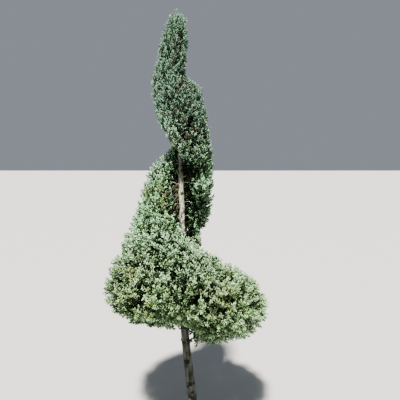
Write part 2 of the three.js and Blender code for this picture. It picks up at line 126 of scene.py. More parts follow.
# Crown: how far the foliage reaches from the trunk at each height, before the groove is cut
CROWN_PROFILE = np.array([
    (0.600, 0.0),
    (0.640, 0.190),
    (0.690, 0.340),
    (0.780, 0.440),
    (0.870, 0.468),
    (0.990, 0.420),
    (1.130, 0.345),
    (1.350, 0.245),
    (1.550, 0.188),
    (1.800, 0.157),
    (1.990, 0.134),
    (2.120, 0.104),
    (2.250, 0.080),
    (2.330, 0.050),
    (2.380, 0.014),
    (2.386, 0.0),
])

# Groove: the bare spiral between the turns of foliage; a row has a value for each quarter turn
GROOVE_START_HEIGHT = 2.365
GROOVE_TURN_DROP = 0.940
GROOVE_START_ANGLE = -TURN / 4
GROOVE_TURNS = 1.5
GROOVE_HALF_HEIGHT = (0.330, 0.120, 0.170, 0.112, 0.185, 0.125, 0.095)
GROOVE_LEFT_FOLIAGE = (0.090, 0.052, 0.085, 0.038, 0.0, 0.0, 0.300)
GROOVE_LEDGE_SLOPE = (0.060, 0.050, 0.060, 0.035, 0.150, 0.230, 0.200)
GROOVE_UNDERSIDE_SLOPE = (0.190, 0.190, 0.190, 0.300, 0.110, 0.360, 0.330)
GROOVE_BARE_BELOW = 0.040

# The skirt is uneven: how low it hangs and how far it spreads at each eighth of a turn,
# from the right by the back and the left
SKIRT_SAG = (0.115, 0.055, 0.020, 0.005, 0.010, -0.050, -0.090, 0.045)
SKIRT_SPREAD = (1.07, 1.0, 0.98, 0.98, 0.98, 0.93, 0.88, 0.99)
SKIRT_BELOW = 1.000
SKIRT_FADE = 0.200

# Levels of foliage masses: name, height, masses round the trunk, share of the reach, turn, drop
LEVELS = (
    ("under", 0.740, 4, 0.40, 0.0, 0.020),
    ("rim", 0.855, 8, 0.64, 0.5, 0.0),
    ("skirt", 1.015, 6, 0.60, 0.25, 0.040),
    ("hip", 1.185, 4, 0.55, 0.0, 0.100),
    ("band", 1.345, 3, 0.53, 0.0, 0.100),
    ("waist", 1.505, 3, 0.52, 0.0, 0.100),
    ("neck", 1.690, 3, 0.50, 0.0, 0.120),
    ("shoulder", 1.880, 3, 0.46, 0.0, 0.130),
    ("column", 2.075, 3, 0.42, 0.0, 0.130),
)
TIP_HEIGHT = 2.258
RIM_STAGGER = 0.024
SEED_SPARE_COVER = 0.018
SEED_SHIFT_STEP = 0.008
SEED_SHIFT_LIMIT = 0.096
CORE_COVER = ((1.1, 1.7), (0.17, 0.13))
CORE_LEAST_COVER = ((2.200, 2.320), (0.012, 0.026))

# Boughs and stems
BRANCH_BEND_ALONG = 0.55
BRANCH_BEND_RISE = 0.35
BOUGH_DISTANCE = 0.215
BOUGH_RISES = (0.3, 0.56)
BOUGH_RADII = (0.0098, 0.0032)
STEM_RISE = 0.45
STEM_RADII = (0.0052, 0.0026)
LIMB_POINTS = 40
LIMB_SIDES = 12

# Snags: height, angle, length and rise of each
SNAGS = (
    (1.475, -0.72, 0.190, -0.004),
    (1.462, 3.35, 0.042, 0.014),
    (1.362, -0.75, 0.048, 0.012),
)
SNAG_RADII = (0.0030, 0.0011)
SNAG_WAVES = 9
SNAG_SWAY = 0.0015
SNAG_SPRAYS = 9
SNAG_SPRAY_SHARES = (0.36, 0.86)
SNAG_SPRAY_LENGTH = 0.042
SNAG_SPRAY_LEAN = 0.6

# Bare twigs in the groove
GROOVE_TWIGS = 18
GROOVE_TWIG_HEIGHTS = (1.31, 1.48)
GROOVE_TWIG_ANGLES = (-2.65, -1.90)
GROOVE_TWIG_LENGTHS = (0.06, 0.12)
GROOVE_TWIG_DROOPS = (0.2, 0.8)
GROOVE_TWIG_RADII = (0.0019, 0.0009)
GROOVE_TWIG_SWAY = 0.06
GROOVE_TWIG_SIDES = 4

# Growth of tufts. A value in two rows runs through the second one as a distance or a height
# runs through the first one.
MARCH_STEP = 0.004
RAYS = 520
RAY_LIMIT = 0.42
RAY_WANDER = 0.6
CELL_OVERLAP = 0.026
TUFT_DEPTHS = (0.042, 0.080, 0.115, 0.150, 0.190, 0.240)
FACING_LEAST = 0.1
TUFT_TRUNK_GAP = 0.006
TUFT_SEED_GAP = 4 * MARCH_STEP
OUTER_DEPTH = 0.070
TUFT_SPACING = ((0.09, 0.30), (0.032, 0.050))
INNER_SPACING = 0.95
CLOSE_TO_TRUNK = ((0.06, 0.14), (0.70, 1.0))
LIFT = ((0.75, 1.2, 1.7), (0.1, 0.7, 1.5))

# Shares that chance draws: the least one, and how much it may add
UNEVEN = (0.85, 0.30)
SIDE_LEAN_SHARES = (0.75, 0.50)
SIDE_LENGTHS = (0.70, 0.30)

# Sprays of a tuft: one leads it, and the side sprays leave it further and further back
SIDE_SPRAYS = 5
INNER_SIDE_SPRAYS = 3
SIDE_TURN_WANDER = 0.3
SIDE_LEAN = 0.72
SIDE_BACK = 0.010
SIDE_BACK_STEP = 0.011
SIDE_LIFT = 0.12
SPRAY_SCALE = ((0.09, 0.20), (0.84, 1.0))
SPRAY_LENGTH = 0.064
SPRAY_LONGEST = 1.2
SPRAY_SHORTEST = 0.024
SPRAY_OVERREACH = 0.002
SPRAY_CURL = 0.16
TONE_WANDER = 0.5

# Twigs that reach the tufts
TWIG_RADII = (0.0019, 0.0009)
TWIG_SIDES = 3
TWIG_KNOT_SPACING = 0.022
TWIG_END_BACK = 0.004
TWIG_INWARD_COST = 0.35
TWIG_SAG = 0.12
TWIG_SAG_WANDER = 0.5

# A spray that is a unit long: its leading shoot, its side shoots and their branchlets
SPRAY_TEMPLATES = 8
SPRAY_AXIS = ((0, 0, 0), (0.02, 0, 0.36), (-0.01, 0.02, 0.70), (0, 0, 1))
AXIS_WANDER = 0.02
AXIS_OVERLAP = 0.12
SHOOTS_FROM = 0.06
SHOOTS_SPAN = 0.84
SHOOT_TURN_WANDER = 0.25
SHOOT_LEAN = 0.72
SHOOT_LEAN_WANDER = 0.10
SHOOT_LONGER = 0.37
SHOOT_FALL = 0.8
SHOOT_SHORTEST = 0.12
BRANCHLET_FROM = 0.30
BRANCHLET_STEP = 0.30
BRANCHLET_WANDER = 0.08
BRANCHLET_WAY = (0.75, 0.55, 0.35)
BRANCHLET_LENGTHS = (0.62, 0.14)

# Cords of the outer and of the inner sprays, and what gives a cord its shape
OUTER_CORDS = {"shoots": 9, "branchlets": 2, "radius": 0.0030}
INNER_CORDS = {"shoots": 7, "branchlets": 0, "radius": 0.0044}
CORD_SHAPE = ("foot", "tip", "radius")

# Leaders: the thin upright shoots in which the tree ends
LEADERS = 7
LEADER_TOP = 2.390
LEADER_DROP = 0.046
LEADER_SPREAD = 0.030
LEADER_LENGTH = 0.085
LEADER_SPLAY = 0.35
LEADER_SLIMNESS = 0.36
LEADER_CORD_RADIUS = 0.0023
LEADER_TINTS = ("sage", "silver", "green", "sage")

# Regions of the crown: each is joined into its own pieces
REGIONS = {
    "rim": ("under", "rim"),
    "skirt": ("skirt",),
    "hip": ("hip",),
    "middle": ("band", "waist"),
    "neck": ("neck",),
    "column": ("shoulder", "column"),
    "tip": ("tip",),
}

# Dark and light colour of each tint of the scale leaves: the ladder from the shaded inside to the
# bloomed tips, and the odd dry ones. The near-black shade tint is painted shade inside the crown;
# the deep tint is partly painted shade and partly the older inner foliage
TINTS = {
    "shade": ((0.008, 0.014, 0.006), (0.018, 0.028, 0.012)),
    "deep": ((0.034, 0.058, 0.028), (0.060, 0.095, 0.046)),
    "green": ((0.124, 0.176, 0.074), (0.158, 0.250, 0.148)),
    "sage": ((0.284, 0.392, 0.190), (0.310, 0.500, 0.345)),
    "silver": ((0.520, 0.690, 0.370), (0.600, 0.870, 0.630)),
    "gold": ((0.300, 0.380, 0.140), (0.440, 0.520, 0.220)),
    "rust": ((0.130, 0.090, 0.050), (0.240, 0.170, 0.100)),
}
LADDER = ("shade", "deep", "green", "sage", "silver")
PALEST = 0.88

# Steps on the ladder: at a spray's foot, more along it, by its tone, less for each depth that
# foliage covers it, which is painted shade together with the older inner foliage, and by chance
TINT_AT_FOOT = 2.6
TINT_ALONG = 1.6
TINT_TONE = 0.42
TINT_COVERED = 0.62
TINT_DEPTHS = (0.012, 0.030, 0.050, 0.075)
TINT_CHANCE = 1.15
# Painted shade in the hollow of the groove, with its old dark leaves: fewer steps close to the
# trunk, below the column
DULL_SHADED_NEAR_TRUNK = ((0.035, 0.105), (1.7, 0.0))
DULL_SHADED_WHERE_WIDE = ((1.66, 1.76), (1.0, 0.0))

# The bloom is cooler high up, and the tints of each region are scaled as painted light and shade:
# darker on the column and the tip as painted shade, palest where the skirt narrows as painted light
REGION_BLOOM_AND_LIGHT = {
    "rim": (0.97, 1.00, 0.90),
    "skirt": (1.06, 1.06, 1.08),
    "hip": (1.18, 1.27, 1.28),
    "middle": (0.82, 0.94, 0.93),
    "neck": (0.81, 0.87, 1.02),
    "column": (0.43, 0.49, 0.57),
    "tip": (0.45, 0.53, 0.61),
}

# Patches of yellowing and dry sprays: place, radius and share of the sprays there
GOLD_PATCHES = (
    ((-0.36, -0.28, 1.00), 0.14, 0.65),
    ((-0.28, -0.34, 0.87), 0.15, 0.60),
    ((-0.15, -0.10, 1.34), 0.13, 0.85),
    ((-0.15, -0.08, 1.61), 0.09, 0.75),
    ((0.16, -0.30, 0.93), 0.16, 0.45),
    ((0.00, -0.14, 1.60), 0.10, 0.50),
)
RUST_PATCHES = (
    ((-0.07, -0.08, 2.26), 0.10, 0.75),
    ((-0.05, -0.10, 2.10), 0.11, 0.70),
    ((-0.02, -0.10, 1.96), 0.12, 0.60),
    ((0.05, -0.08, 1.80), 0.12, 0.50),
    ((-0.06, -0.14, 1.74), 0.11, 0.55),
    ((-0.16, -0.08, 1.36), 0.11, 0.60),
)
ODD_CORDS = 0.45

# Painted light and shade on the crown: patches painted paler where it is lit and darker where it
# lies in shade, as in the hollow beside the trunk; place, radius and how many steps each lifts the
# tint
PAINTED_LIGHT_PATCHES = (
    ((0.32, -0.24, 0.82), 0.34, 0.55),
    ((-0.42, -0.22, 0.84), 0.30, -0.50),
    ((-0.26, -0.10, 1.42), 0.22, 0.50),
    ((0.00, -0.10, 1.80), 0.16, -0.25),
    ((0.07, -0.04, 1.70), 0.20, -1.10),
    ((-0.03, -0.06, 1.54), 0.088, -2.70),
    ((-0.22, -0.06, 1.90), 0.14, 0.60),
    ((-0.17, -0.12, 1.33), 0.09, 0.60),
)

# How steeply a patch fades towards its edge
PATCH_STEEPNESS = 1.5

# Sockets of a mix of colours: the colour under, the one over it, and what comes out
MIX_UNDER, MIX_OVER, MIX_RESULT = 6, 7, 2

# Finishes: fine mottling, scale leaves with their waxy bloom, and flaking bark
MOTTLE_DETAIL = 3.0
MOTTLE_ROUGHNESS = 0.6
MOTTLE_SPREAD = (0.35, 0.65)
BUMP_STRENGTH = 0.6
LEAF_ROUGHNESS = 0.72
LEAF_GLOSS = 0.3
LEAF_MOTTLE_SCALE = 110
LEAF_STRETCH = (1, 1, 1)
LEAF_BUMP = 0.0006
BARK_ROUGHNESS = 0.88
BARK_GLOSS = 0.2
BARK_STRETCH = (1, 1, 0.22)
BARK_BUMP = 0.0015
FLAKE_SCALE = 0.45
FLAKE_DETAIL = 4.0
FLAKE_EDGE = (0.53, 0.60)
FLAKE_DARKNESS = 0.45

# Dark and light colour of each bark, and the scale of its mottling
BARKS = {
    # The trunk's own grey bark, darkened and cooled as painted shade: the shade of the skirt and the
    # column on it
    "trunk_bark": ((0.037, 0.041, 0.034), (0.125, 0.135, 0.112), 60),
    "knot_wood": ((0.040, 0.030, 0.020), (0.120, 0.090, 0.060), 200),
    "limb_bark": ((0.095, 0.078, 0.056), (0.240, 0.210, 0.155), 110),
    "bare_twig": ((0.160, 0.145, 0.115), (0.480, 0.450, 0.380), 160),
}
# The cream bark is made as bright as the sunlit trunk: painted light
CREAM_LIT_BARK = ((0.140, 0.128, 0.094), (0.755, 0.748, 0.645), 80)
CREAM_STRETCH = (1, 1, 0.40)

# Camera: eye height, distance, and the pitch that puts the horizon where it is
CAMERA_PLACE = (0.024, -2.2, 1.65)
CAMERA_PITCH = 7.125
CAMERA_LENS = 36.0
SENSOR_WIDTH = 36.0
VIEW_LOOK = "AgX - Medium High Contrast"

# Floor and light: a soft sun from high in front, a little to the left, and a pale fill from
# all round
FLOOR_HALF = 30.0
FLOOR_COLOUR = (0.50, 0.50, 0.50)
FLOOR_ROUGHNESS = 0.9
KEY_FROM = (-0.12, -0.55, 1.0)
KEY_STRENGTH = 10.0
KEY_SOFTNESS = math.radians(5)
KEY_COLOUR = (1.0, 0.96, 0.88)
FILL_STRENGTH = 0.30
FILL_COLOUR = (0.80, 0.87, 0.96)

rng = np.random.default_rng(SEED)


def unit(vectors):
    """The same directions, each a unit long."""
    return vectors / np.linalg.norm(vectors, axis=-1, keepdims=True)


def drawn(shares, chance, count=None):
    """Shares drawn by chance, each from the least one up."""
    least, more = shares
    return least + more * chance.random(count)


# Trunk line and radius

def trunk_centre(height):
    """Middle of the trunk at each height, on a smooth line through its bends."""
    bends, heights = TRUNK_LINE[:, :2], TRUNK_LINE[:, 2]
    slopes = np.gradient(bends, heights, axis=0)
    height = np.clip(np.asarray(height, float), 0, TRUNK_TOP)
    i = np.clip(np.searchsorted(heights, height, side="right") - 1, 0, len(heights) - 2)
    span = (heights[i + 1] - heights[i])[..., None]
    t = (height - heights[i])[..., None] / span
    start = (1 + 2 * t) * (1 - t) ** 2 * bends[i] + t * (1 - t) ** 2 * span * slopes[i]
    end = t ** 2 * (3 - 2 * t) * bends[i + 1] + t ** 2 * (t - 1) * span * slopes[i + 1]
    return start + end


def trunk_radius(height):
    """Radius of the trunk without its root flare."""
    left = np.clip(1 - np.asarray(height, float) / TRUNK_TOP, 0, 1)
    return TRUNK_TIP_RADIUS + (TRUNK_RADIUS - TRUNK_TIP_RADIUS) * left ** TRUNK_TAPER


def flare_radius(height, angle):
    """How far the root flare stands out."""
    roots = 1 + FLARE_ROOT_RELIEF * np.cos(FLARE_ROOTS * angle)
    return FLARE_SPREAD * roots * np.exp(-height / FLARE_HEIGHT)


# Crown space

def quarter_value(values, angle):
    """A value given at each quarter turn, at any angle."""
    return np.interp(angle / (TURN / 4), range(len(values)), values)


def value_round(values, angle):
    """A value given at even steps all the way round."""
    step = (angle % TURN) / TURN * len(values)
    return np.interp(step, range(len(values) + 1), [*values, values[0]])


def crown_reach(angle, height):
    """How far the foliage reaches from the trunk's middle."""
    uneven = np.clip((SKIRT_BELOW - height) / SKIRT_FADE, 0, 1)
    sag = uneven * value_round(SKIRT_SAG, angle)
    spread = 1 + uneven * (value_round(SKIRT_SPREAD, angle) - 1)
    reach = spread * np.interp(height + sag, CROWN_PROFILE[:, 0], CROWN_PROFILE[:, 1])
    turned = (angle - GROOVE_START_ANGLE) % TURN
    for along in (turned, turned + TURN):
        half = quarter_value(GROOVE_HALF_HEIGHT, along)
        offset = height - (GROOVE_START_HEIGHT - GROOVE_TURN_DROP * along / TURN)
        ledge = quarter_value(GROOVE_LEDGE_SLOPE, along)
        slope = np.where(offset < 0, ledge, quarter_value(GROOVE_UNDERSIDE_SLOPE, along))
        share = np.clip((np.abs(offset) - half) / slope, 0, 1)
        inside = np.minimum(reach, quarter_value(GROOVE_LEFT_FOLIAGE, along))
        grooved = inside + (reach - inside) * np.sqrt(1 - (1 - share) ** 2)
        reach = np.where(along < GROOVE_TURNS * TURN, grooved, reach)
    return reach


def out_from_trunk(points):
    """Vectors from the trunk's middle, level with each point."""
    return points[..., :2] - trunk_centre(points[..., 2])


def reach_at(points):
    """How far the foliage reaches in the direction of each point, level with it."""
    flat = out_from_trunk(points)
    return crown_reach(np.arctan2(flat[..., 1], flat[..., 0]), points[..., 2])


def in_crown(points, cover=0.0):
    """Whether foliage covers each point that deep."""
    flat = out_from_trunk(points)
    angle = np.arctan2(flat[..., 1], flat[..., 0])
    out = np.linalg.norm(flat, axis=-1)
    steps = (-cover, 0, cover) if cover > 0 else (0,)
    heights = points[..., 2]
    return np.all([out + cover < crown_reach(angle, heights + step) for step in steps], axis=0)


# Where the masses stand

def groove_along(height):
    """How far round the groove has wound when it comes down to a height."""
    return TURN * np.clip((GROOVE_START_HEIGHT - height) / GROOVE_TURN_DROP, 0, GROOVE_TURNS)


def core_cover(point):
    """How deep under the outline the heart of a mass stays."""
    out = np.linalg.norm(out_from_trunk(point))
    return max(np.interp(point[2], *CORE_LEAST_COVER), np.interp(point[2], *CORE_COVER) * out)


def settled_seed(share, angle, height):
    """The seed nearest to the wanted height that foliage covers on all sides, or None."""
    for step in np.arange(0, SEED_SHIFT_LIMIT + SEED_SHIFT_STEP / 2, SEED_SHIFT_STEP):
        for shifted in (height - step, height + step):
            out = share * crown_reach(angle, shifted)
            flat = trunk_centre(shifted) + out * np.array([math.cos(angle), math.sin(angle)])
            seed = np.array([*flat, shifted])
            if in_crown(seed, core_cover(seed) + SEED_SPARE_COVER):
                return seed
    return None


def level_masses(name, height, count, share, turn, drop):
    """The masses of a level share out the arc that the groove leaves."""
    along = groove_along(height)
    bare = quarter_value(GROOVE_LEFT_FOLIAGE, along) < GROOVE_BARE_BELOW
    half = quarter_value(GROOVE_HALF_HEIGHT, along) * TURN / GROOVE_TURN_DROP if bare else 0.0
    arc = TURN - 2 * half
    found = []
    for i in range(count):
        angle = (GROOVE_START_ANGLE + along + half + arc * (i + 0.5 + turn) / count) % TURN
        stagger = 0 if drop else RIM_STAGGER * (1 if i % 2 else -1)
        seed = settled_seed(share, angle, height + drop * (0.5 - (i + 0.5) / count) + stagger)
        if seed is not None:
            node = f"foliage_{name}_{i + 1}"
            found.append({"level": name, "node": node, "seed": seed, "rise": BOUGH_RISES[i % 2]})
    return found


def on_bough(mass):
    """Whether a mass stands so far out that a bough carries it, and not a short stem."""
    return np.linalg.norm(out_from_trunk(mass["seed"])) > BOUGH_DISTANCE


def branch_line(seed, rise):
    """Points along a branch, from the trunk's middle to the seed of its mass."""
    out = np.linalg.norm(out_from_trunk(seed))
    height = seed[2] - rise * out
    start = np.array([*trunk_centre(height), height])
    bend = start + (seed - start) * BRANCH_BEND_ALONG
    bend[2] = height + (seed[2] - height) * BRANCH_BEND_RISE
    t = np.linspace(0, 1, LIMB_POINTS)[:, None]
    return (1 - t) ** 2 * start + 2 * t * (1 - t) * bend + t ** 2 * seed


def snag_ends(height, angle, length, rise):
    """The two ends of a snag, from the trunk's middle."""
    start = np.array([*trunk_centre(height), height])
    reach = trunk_radius(height) + length
    return start, start + np.array([reach * math.cos(angle), reach * math.sin(angle), rise])


masses = [mass for level in LEVELS for mass in level_masses(*level)]
tip_seed = np.array([*trunk_centre(TIP_HEIGHT), TIP_HEIGHT])
masses.append({"level": "tip", "node": "foliage_tip", "seed": tip_seed})
seeds = np.array([mass["seed"] for mass in masses])


def in_cell(own, points):
    """Whether points are nearer to a mass's own seed than to any other, or little further."""
    distance = ((points[..., None, :] - seeds) ** 2).sum(axis=-1)
    apart = 2 * np.linalg.norm(seeds - seeds[own], axis=1)
    apart[own] = 1.0
    margin = (distance - distance[..., own:own + 1]) / apart
    margin[..., own] = 0.0
    return np.all(margin > -CELL_OVERLAP, axis=-1)


def march(starts, directions, limit, is_inside):
    """How far each ray runs before it leaves its space."""
    steps = np.arange(1, int(limit / MARCH_STEP) + 1) * MARCH_STEP
    inside = is_inside(starts[:, None] + directions[:, None] * steps[None, :, None])
    return MARCH_STEP * np.cumprod(inside, axis=1).sum(axis=1)


# Tufts: a tuft is a twig's end with its sprays

def fibonacci_directions(count):
    """Directions spread evenly over the ball, each a little astray."""
    index = np.arange(count)
    z = 1 - 2 * (index + 0.5) / count
    angle = index * GOLDEN_TURN + RAY_WANDER * (rng.random(count) - 0.5)
    flat = np.sqrt(1 - z ** 2)
    return np.stack([flat * np.cos(angle), flat * np.sin(angle), z], axis=1)


def tuft_candidates(own):
    """Places along the rays of a mass where a tuft may sit, with their ways out."""
    seed = seeds[own]
    directions = fibonacci_directions(RAYS)
    starts = np.repeat(seed[None], RAYS, axis=0)
    lengths = march(starts, directions, RAY_LIMIT, lambda p: in_cell(own, p) & in_crown(p))
    facing = (directions * lifted(directions, np.full(RAYS, seed[2]))).sum(axis=1)
    places, ways = [], []
    for depth in TUFT_DEPTHS:
        share = np.clip(facing, FACING_LEAST, 1) if depth == TUFT_DEPTHS[0] else 1.0
        wanted = lengths - depth * share * drawn(UNEVEN, rng, RAYS)
        kept = wanted > (0.0 if depth == TUFT_DEPTHS[0] else TUFT_SEED_GAP)
        places.append(seed + directions[kept] * wanted[kept, None])
        ways.append(directions[kept])
    places = np.concatenate(places)
    return places, np.concatenate(ways), np.full(len(places), own)


def spaced(places, spacing, taken):
    """Indices of places, in a seeded order, that keep their spacing from all that came before."""
    size = spacing.max()
    cells = {}
    for place in taken:
        cells.setdefault(tuple((place // size).astype(int)), []).append(place)
    kept = []
    around = [(i, j, k) for i in (-1, 0, 1) for j in (-1, 0, 1) for k in (-1, 0, 1)]
    for index in rng.permutation(len(places)):
        place = places[index]
        x, y, z = (place // size).astype(int)
        near = [p for i, j, k in around for p in cells.get((x + i, y + j, z + k), ())]
        if near and np.min(np.sum((np.array(near) - place) ** 2, axis=1)) < spacing[index] ** 2:
            continue
        cells.setdefault((x, y, z), []).append(place)
        kept.append(index)
    return np.array(kept, int)


def grow_tufts():
    """All tufts of the crown: place, way out, mass, and whether it shows outside."""
    found = [tuft_candidates(own) for own in range(len(masses))]
    places, ways, owners = (np.concatenate(column) for column in zip(*found))
    out = np.linalg.norm(out_from_trunk(places), axis=1)
    clear = out > trunk_radius(places[:, 2]) + TUFT_TRUNK_GAP
    places, ways, owners, out = places[clear], ways[clear], owners[clear], out[clear]
    spacing = np.interp(reach_at(places), *TUFT_SPACING)
    outer = ~in_crown(places, OUTER_DEPTH)
    first = np.flatnonzero(outer)
    first = first[spaced(places[first], spacing[first], [])]
    second = np.flatnonzero(~outer)
    inner_spacing = spacing * INNER_SPACING * np.interp(out, *CLOSE_TO_TRUNK)
    second = second[spaced(places[second], inner_spacing[second], places[first])]
    picked = np.concatenate([first, second])
    shows = np.arange(len(picked)) < len(first)
    return places[picked], ways[picked], owners[picked], shows


# Sprays of scale leaves

def spray_template(side_shoots, shoot_cords, seed):
    """Cords of one spray a unit long, up along Z: feet, tips and share along the spray."""
    chance = np.random.default_rng(seed)
    feet, tips = [], []
    axis = np.array(SPRAY_AXIS)
    axis[1:3, :2] += chance.normal(0, AXIS_WANDER, (2, 2))
    for start, end in zip(axis[:-1], axis[1:]):
        feet.append(start)
        tips.append(end + (end - start) * AXIS_OVERLAP)
    turn = chance.random() * TURN
    onwards, outwards, upwards = BRANCHLET_WAY
    longest, shorter = BRANCHLET_LENGTHS
    for i in range(side_shoots):
        along = SHOOTS_FROM + SHOOTS_SPAN * i / side_shoots
        foot = np.array([np.interp(along, axis[:, 2], axis[:, k]) for k in range(3)])
        around = turn + i * GOLDEN_TURN + chance.normal(0, SHOOT_TURN_WANDER)
        lean = SHOOT_LEAN + chance.normal(0, SHOOT_LEAN_WANDER)
        side = np.array([math.cos(around), math.sin(around), 0])
        way = side * math.sin(lean) + UP * math.cos(lean)
        length = SHOOT_LONGER * (1 - along) ** SHOOT_FALL + SHOOT_SHORTEST
        length *= drawn(UNEVEN, chance)
        feet.append(foot)
        tips.append(foot + way * length)
        across = np.cross(way, UP)
        for k in range(shoot_cords):
            share = BRANCHLET_FROM + BRANCHLET_STEP * k + BRANCHLET_WANDER * chance.random()
            hand = 1 if (i + k) % 2 else -1
            branch = unit(way * onwards + across * hand * outwards + UP * upwards)
            start = foot + way * length * share
            feet.append(start)
            tips.append(start + branch * length * (longest - shorter * k))
    feet, tips = np.array(feet), np.array(tips)
    return feet, tips, np.clip(tips[:, 2], 0, 1)


def frames_along(ways, rolls):
    """A turned frame for each way, with its third axis along the way."""
    steep = np.abs(ways[:, 2:3]) > STEEP
    reference = np.where(steep, BACK[None], UP[None])
    side = unit(np.cross(reference, ways))
    other = np.cross(ways, side)
    cos, sin = np.cos(rolls)[:, None], np.sin(rolls)[:, None]
    return np.stack([side * cos + other * sin, other * cos - side * sin, ways], axis=2)


def lifted(ways, heights):
    """Ways turned upwards as much as foliage at that height stands up."""
    return unit(ways + UP * np.interp(heights, *LIFT)[:, None])


def tuft_sprays(places, ways, owners, shows):
    """The sprays on all tufts: root, way, length, mass, whether each shows, and its tone."""
    count = len(places)
    tones = rng.normal(0, 1, count)
    main = lifted(ways, places[:, 2])
    roots, leads, scales, holders = [places], [main], [np.ones(count)], [np.arange(count)]
    frames = frames_along(main, rng.random(count) * TURN)
    for k in range(SIDE_SPRAYS):
        chosen = np.flatnonzero(shows | (k < INNER_SIDE_SPRAYS))
        around = k * GOLDEN_TURN + rng.normal(0, SIDE_TURN_WANDER, len(chosen))
        lean = SIDE_LEAN * drawn(SIDE_LEAN_SHARES, rng, len(chosen))
        flat = np.sin(lean)
        local = np.stack([np.cos(around) * flat, np.sin(around) * flat, np.cos(lean)], axis=1)
        lead = np.einsum("nij,nj->ni", frames[chosen], local)
        roots.append(places[chosen] - main[chosen] * (SIDE_BACK + SIDE_BACK_STEP * k))
        leads.append(unit(lead + UP * SIDE_LIFT))
        scales.append(drawn(SIDE_LENGTHS, rng, len(chosen)))
        holders.append(chosen)
    roots, leads = np.concatenate(roots), np.concatenate(leads)
    scales, holders = np.concatenate(scales), np.concatenate(holders)
    scales *= np.interp(reach_at(roots), *SPRAY_SCALE)
    limit = SPRAY_LENGTH * scales * drawn(UNEVEN, rng, len(scales))
    room = march(roots, leads, SPRAY_LENGTH * SPRAY_LONGEST, lambda p: in_crown(p, -SPRAY_OVERREACH))
    lengths = np.minimum(limit, room)
    kept = lengths > SPRAY_SHORTEST
    holders = holders[kept]
    return {
        "root": roots[kept],
        "way": leads[kept],
        "length": lengths[kept],
        "owner": owners[holders],
        "outer": shows[holders],
        "tone": tones[holders] + TONE_WANDER * rng.normal(0, 1, kept.sum()),
    }


def snag_sprays():
    """The few live sprays that the longest snag still carries, past its bare inner part."""
    start, end = snag_ends(*SNAGS[0])
    shares = np.linspace(*SNAG_SPRAY_SHARES, SNAG_SPRAYS)
    turns = np.arange(SNAG_SPRAYS) * GOLDEN_TURN
    along = unit(end - start)
    side = unit(np.cross(UP, along))
    out = np.cos(turns)[:, None] * side + np.sin(turns)[:, None] * UP
    roots = start + (end - start) * shares[:, None]
    nearest = np.argmin(np.linalg.norm(roots[:, None] - seeds[None], axis=2), axis=1)
    return {
        "root": roots,
        "way": unit(out + along * SNAG_SPRAY_LEAN),
        "length": np.full(SNAG_SPRAYS, SNAG_SPRAY_LENGTH),
        "owner": nearest,
        "outer": np.full(SNAG_SPRAYS, True),
        "tone": np.zeros(SNAG_SPRAYS),
    }


def cords_of_sprays(sprays, outer):
    """All cords of the outer or of the inner sprays, in place."""
    kind = OUTER_CORDS if outer else INNER_CORDS
    templates = [spray_template(kind["shoots"], kind["branchlets"], SEED + k)
                 for k in range(SPRAY_TEMPLATES)]
    chosen = np.flatnonzero(sprays["outer"] == outer)
    template_of = rng.integers(0, SPRAY_TEMPLATES, len(chosen))
    rolls = rng.random(len(chosen)) * TURN
    frames = frames_along(sprays["way"][chosen], rolls)
    rows = {"foot": [], "tip": [], "radius": [], "along": [], "spray": []}
    for k, (feet, tips, along) in enumerate(templates):
        members = np.flatnonzero(template_of == k)
        which = chosen[members]
        length = sprays["length"][which][:, None, None]
        root = sprays["root"][which][:, None]
        curl = SPRAY_CURL * UP[None, None] * length
        for name, points in (("foot", feet), ("tip", tips)):
            turned = np.einsum("nij,pj->npi", frames[members], points) * length
            bent = curl * (points[None, :, 2:3] ** 2)
            rows[name].append((root + turned + bent).reshape(-1, 3))
        count = len(feet)
        rows["radius"].append(np.full(len(which) * count, kind["radius"]))
        rows["along"].append(np.tile(along, len(which)))
        rows["spray"].append(np.repeat(which, count))
    return {name: np.concatenate(values) for name, values in rows.items()}


def leader_cords():
    """Cords of the upright shoots at the tip, with their tints."""
    feet, tips, _ = spray_template(OUTER_CORDS["shoots"], OUTER_CORDS["branchlets"], SEED)
    slim = LEADER_LENGTH * np.array([LEADER_SLIMNESS, LEADER_SLIMNESS, 1.0])
    rows = {"foot": [], "tip": []}
    for k in range(LEADERS):
        share = math.sqrt(k / LEADERS)
        angle = k * GOLDEN_TURN
        out = LEADER_SPREAD * share * np.array([math.cos(angle), math.sin(angle), 0.0])
        top = np.array([*trunk_centre(TRUNK_TOP), LEADER_TOP - LEADER_DROP * share ** 2]) + out
        root = top - UP * LEADER_LENGTH - LEADER_SPLAY * out
        turned = frames_along(unit(top - root)[None], np.array([angle]))[0]
        rows["foot"].append(root + (feet * slim) @ turned.T)
        rows["tip"].append(root + (tips * slim) @ turned.T)
    rows = {name: np.concatenate(values) for name, values in rows.items()}
    count = len(rows["foot"])
    rows["radius"] = np.full(count, LEADER_CORD_RADIUS)
    rows["tint"] = np.resize(np.array(LEADER_TINTS, dtype=object), count)
    return rows


def nearness(places, centre, radius):
    """How much of a patch each place gets: all of it well inside, none past its edge."""
    distance = np.linalg.norm(places - np.array(centre), axis=1)
    return np.clip(PATCH_STEEPNESS * (1 - distance / radius), 0, 1)


def in_patch(places, patches):
    """Whether each place falls in one of the patches, by its share."""
    chance = rng.random(len(places))
    found = np.zeros(len(places), bool)
    for centre, radius, share in patches:
        found |= chance < share * nearness(places, centre, radius)
    return found


def painted_light_lift(places):
    """How many steps the painted light and shade lift the tint at each place."""
    lift = np.zeros(len(places))
    for centre, radius, steps in PAINTED_LIGHT_PATCHES:
        lift += steps * nearness(places, centre, radius)
    return lift


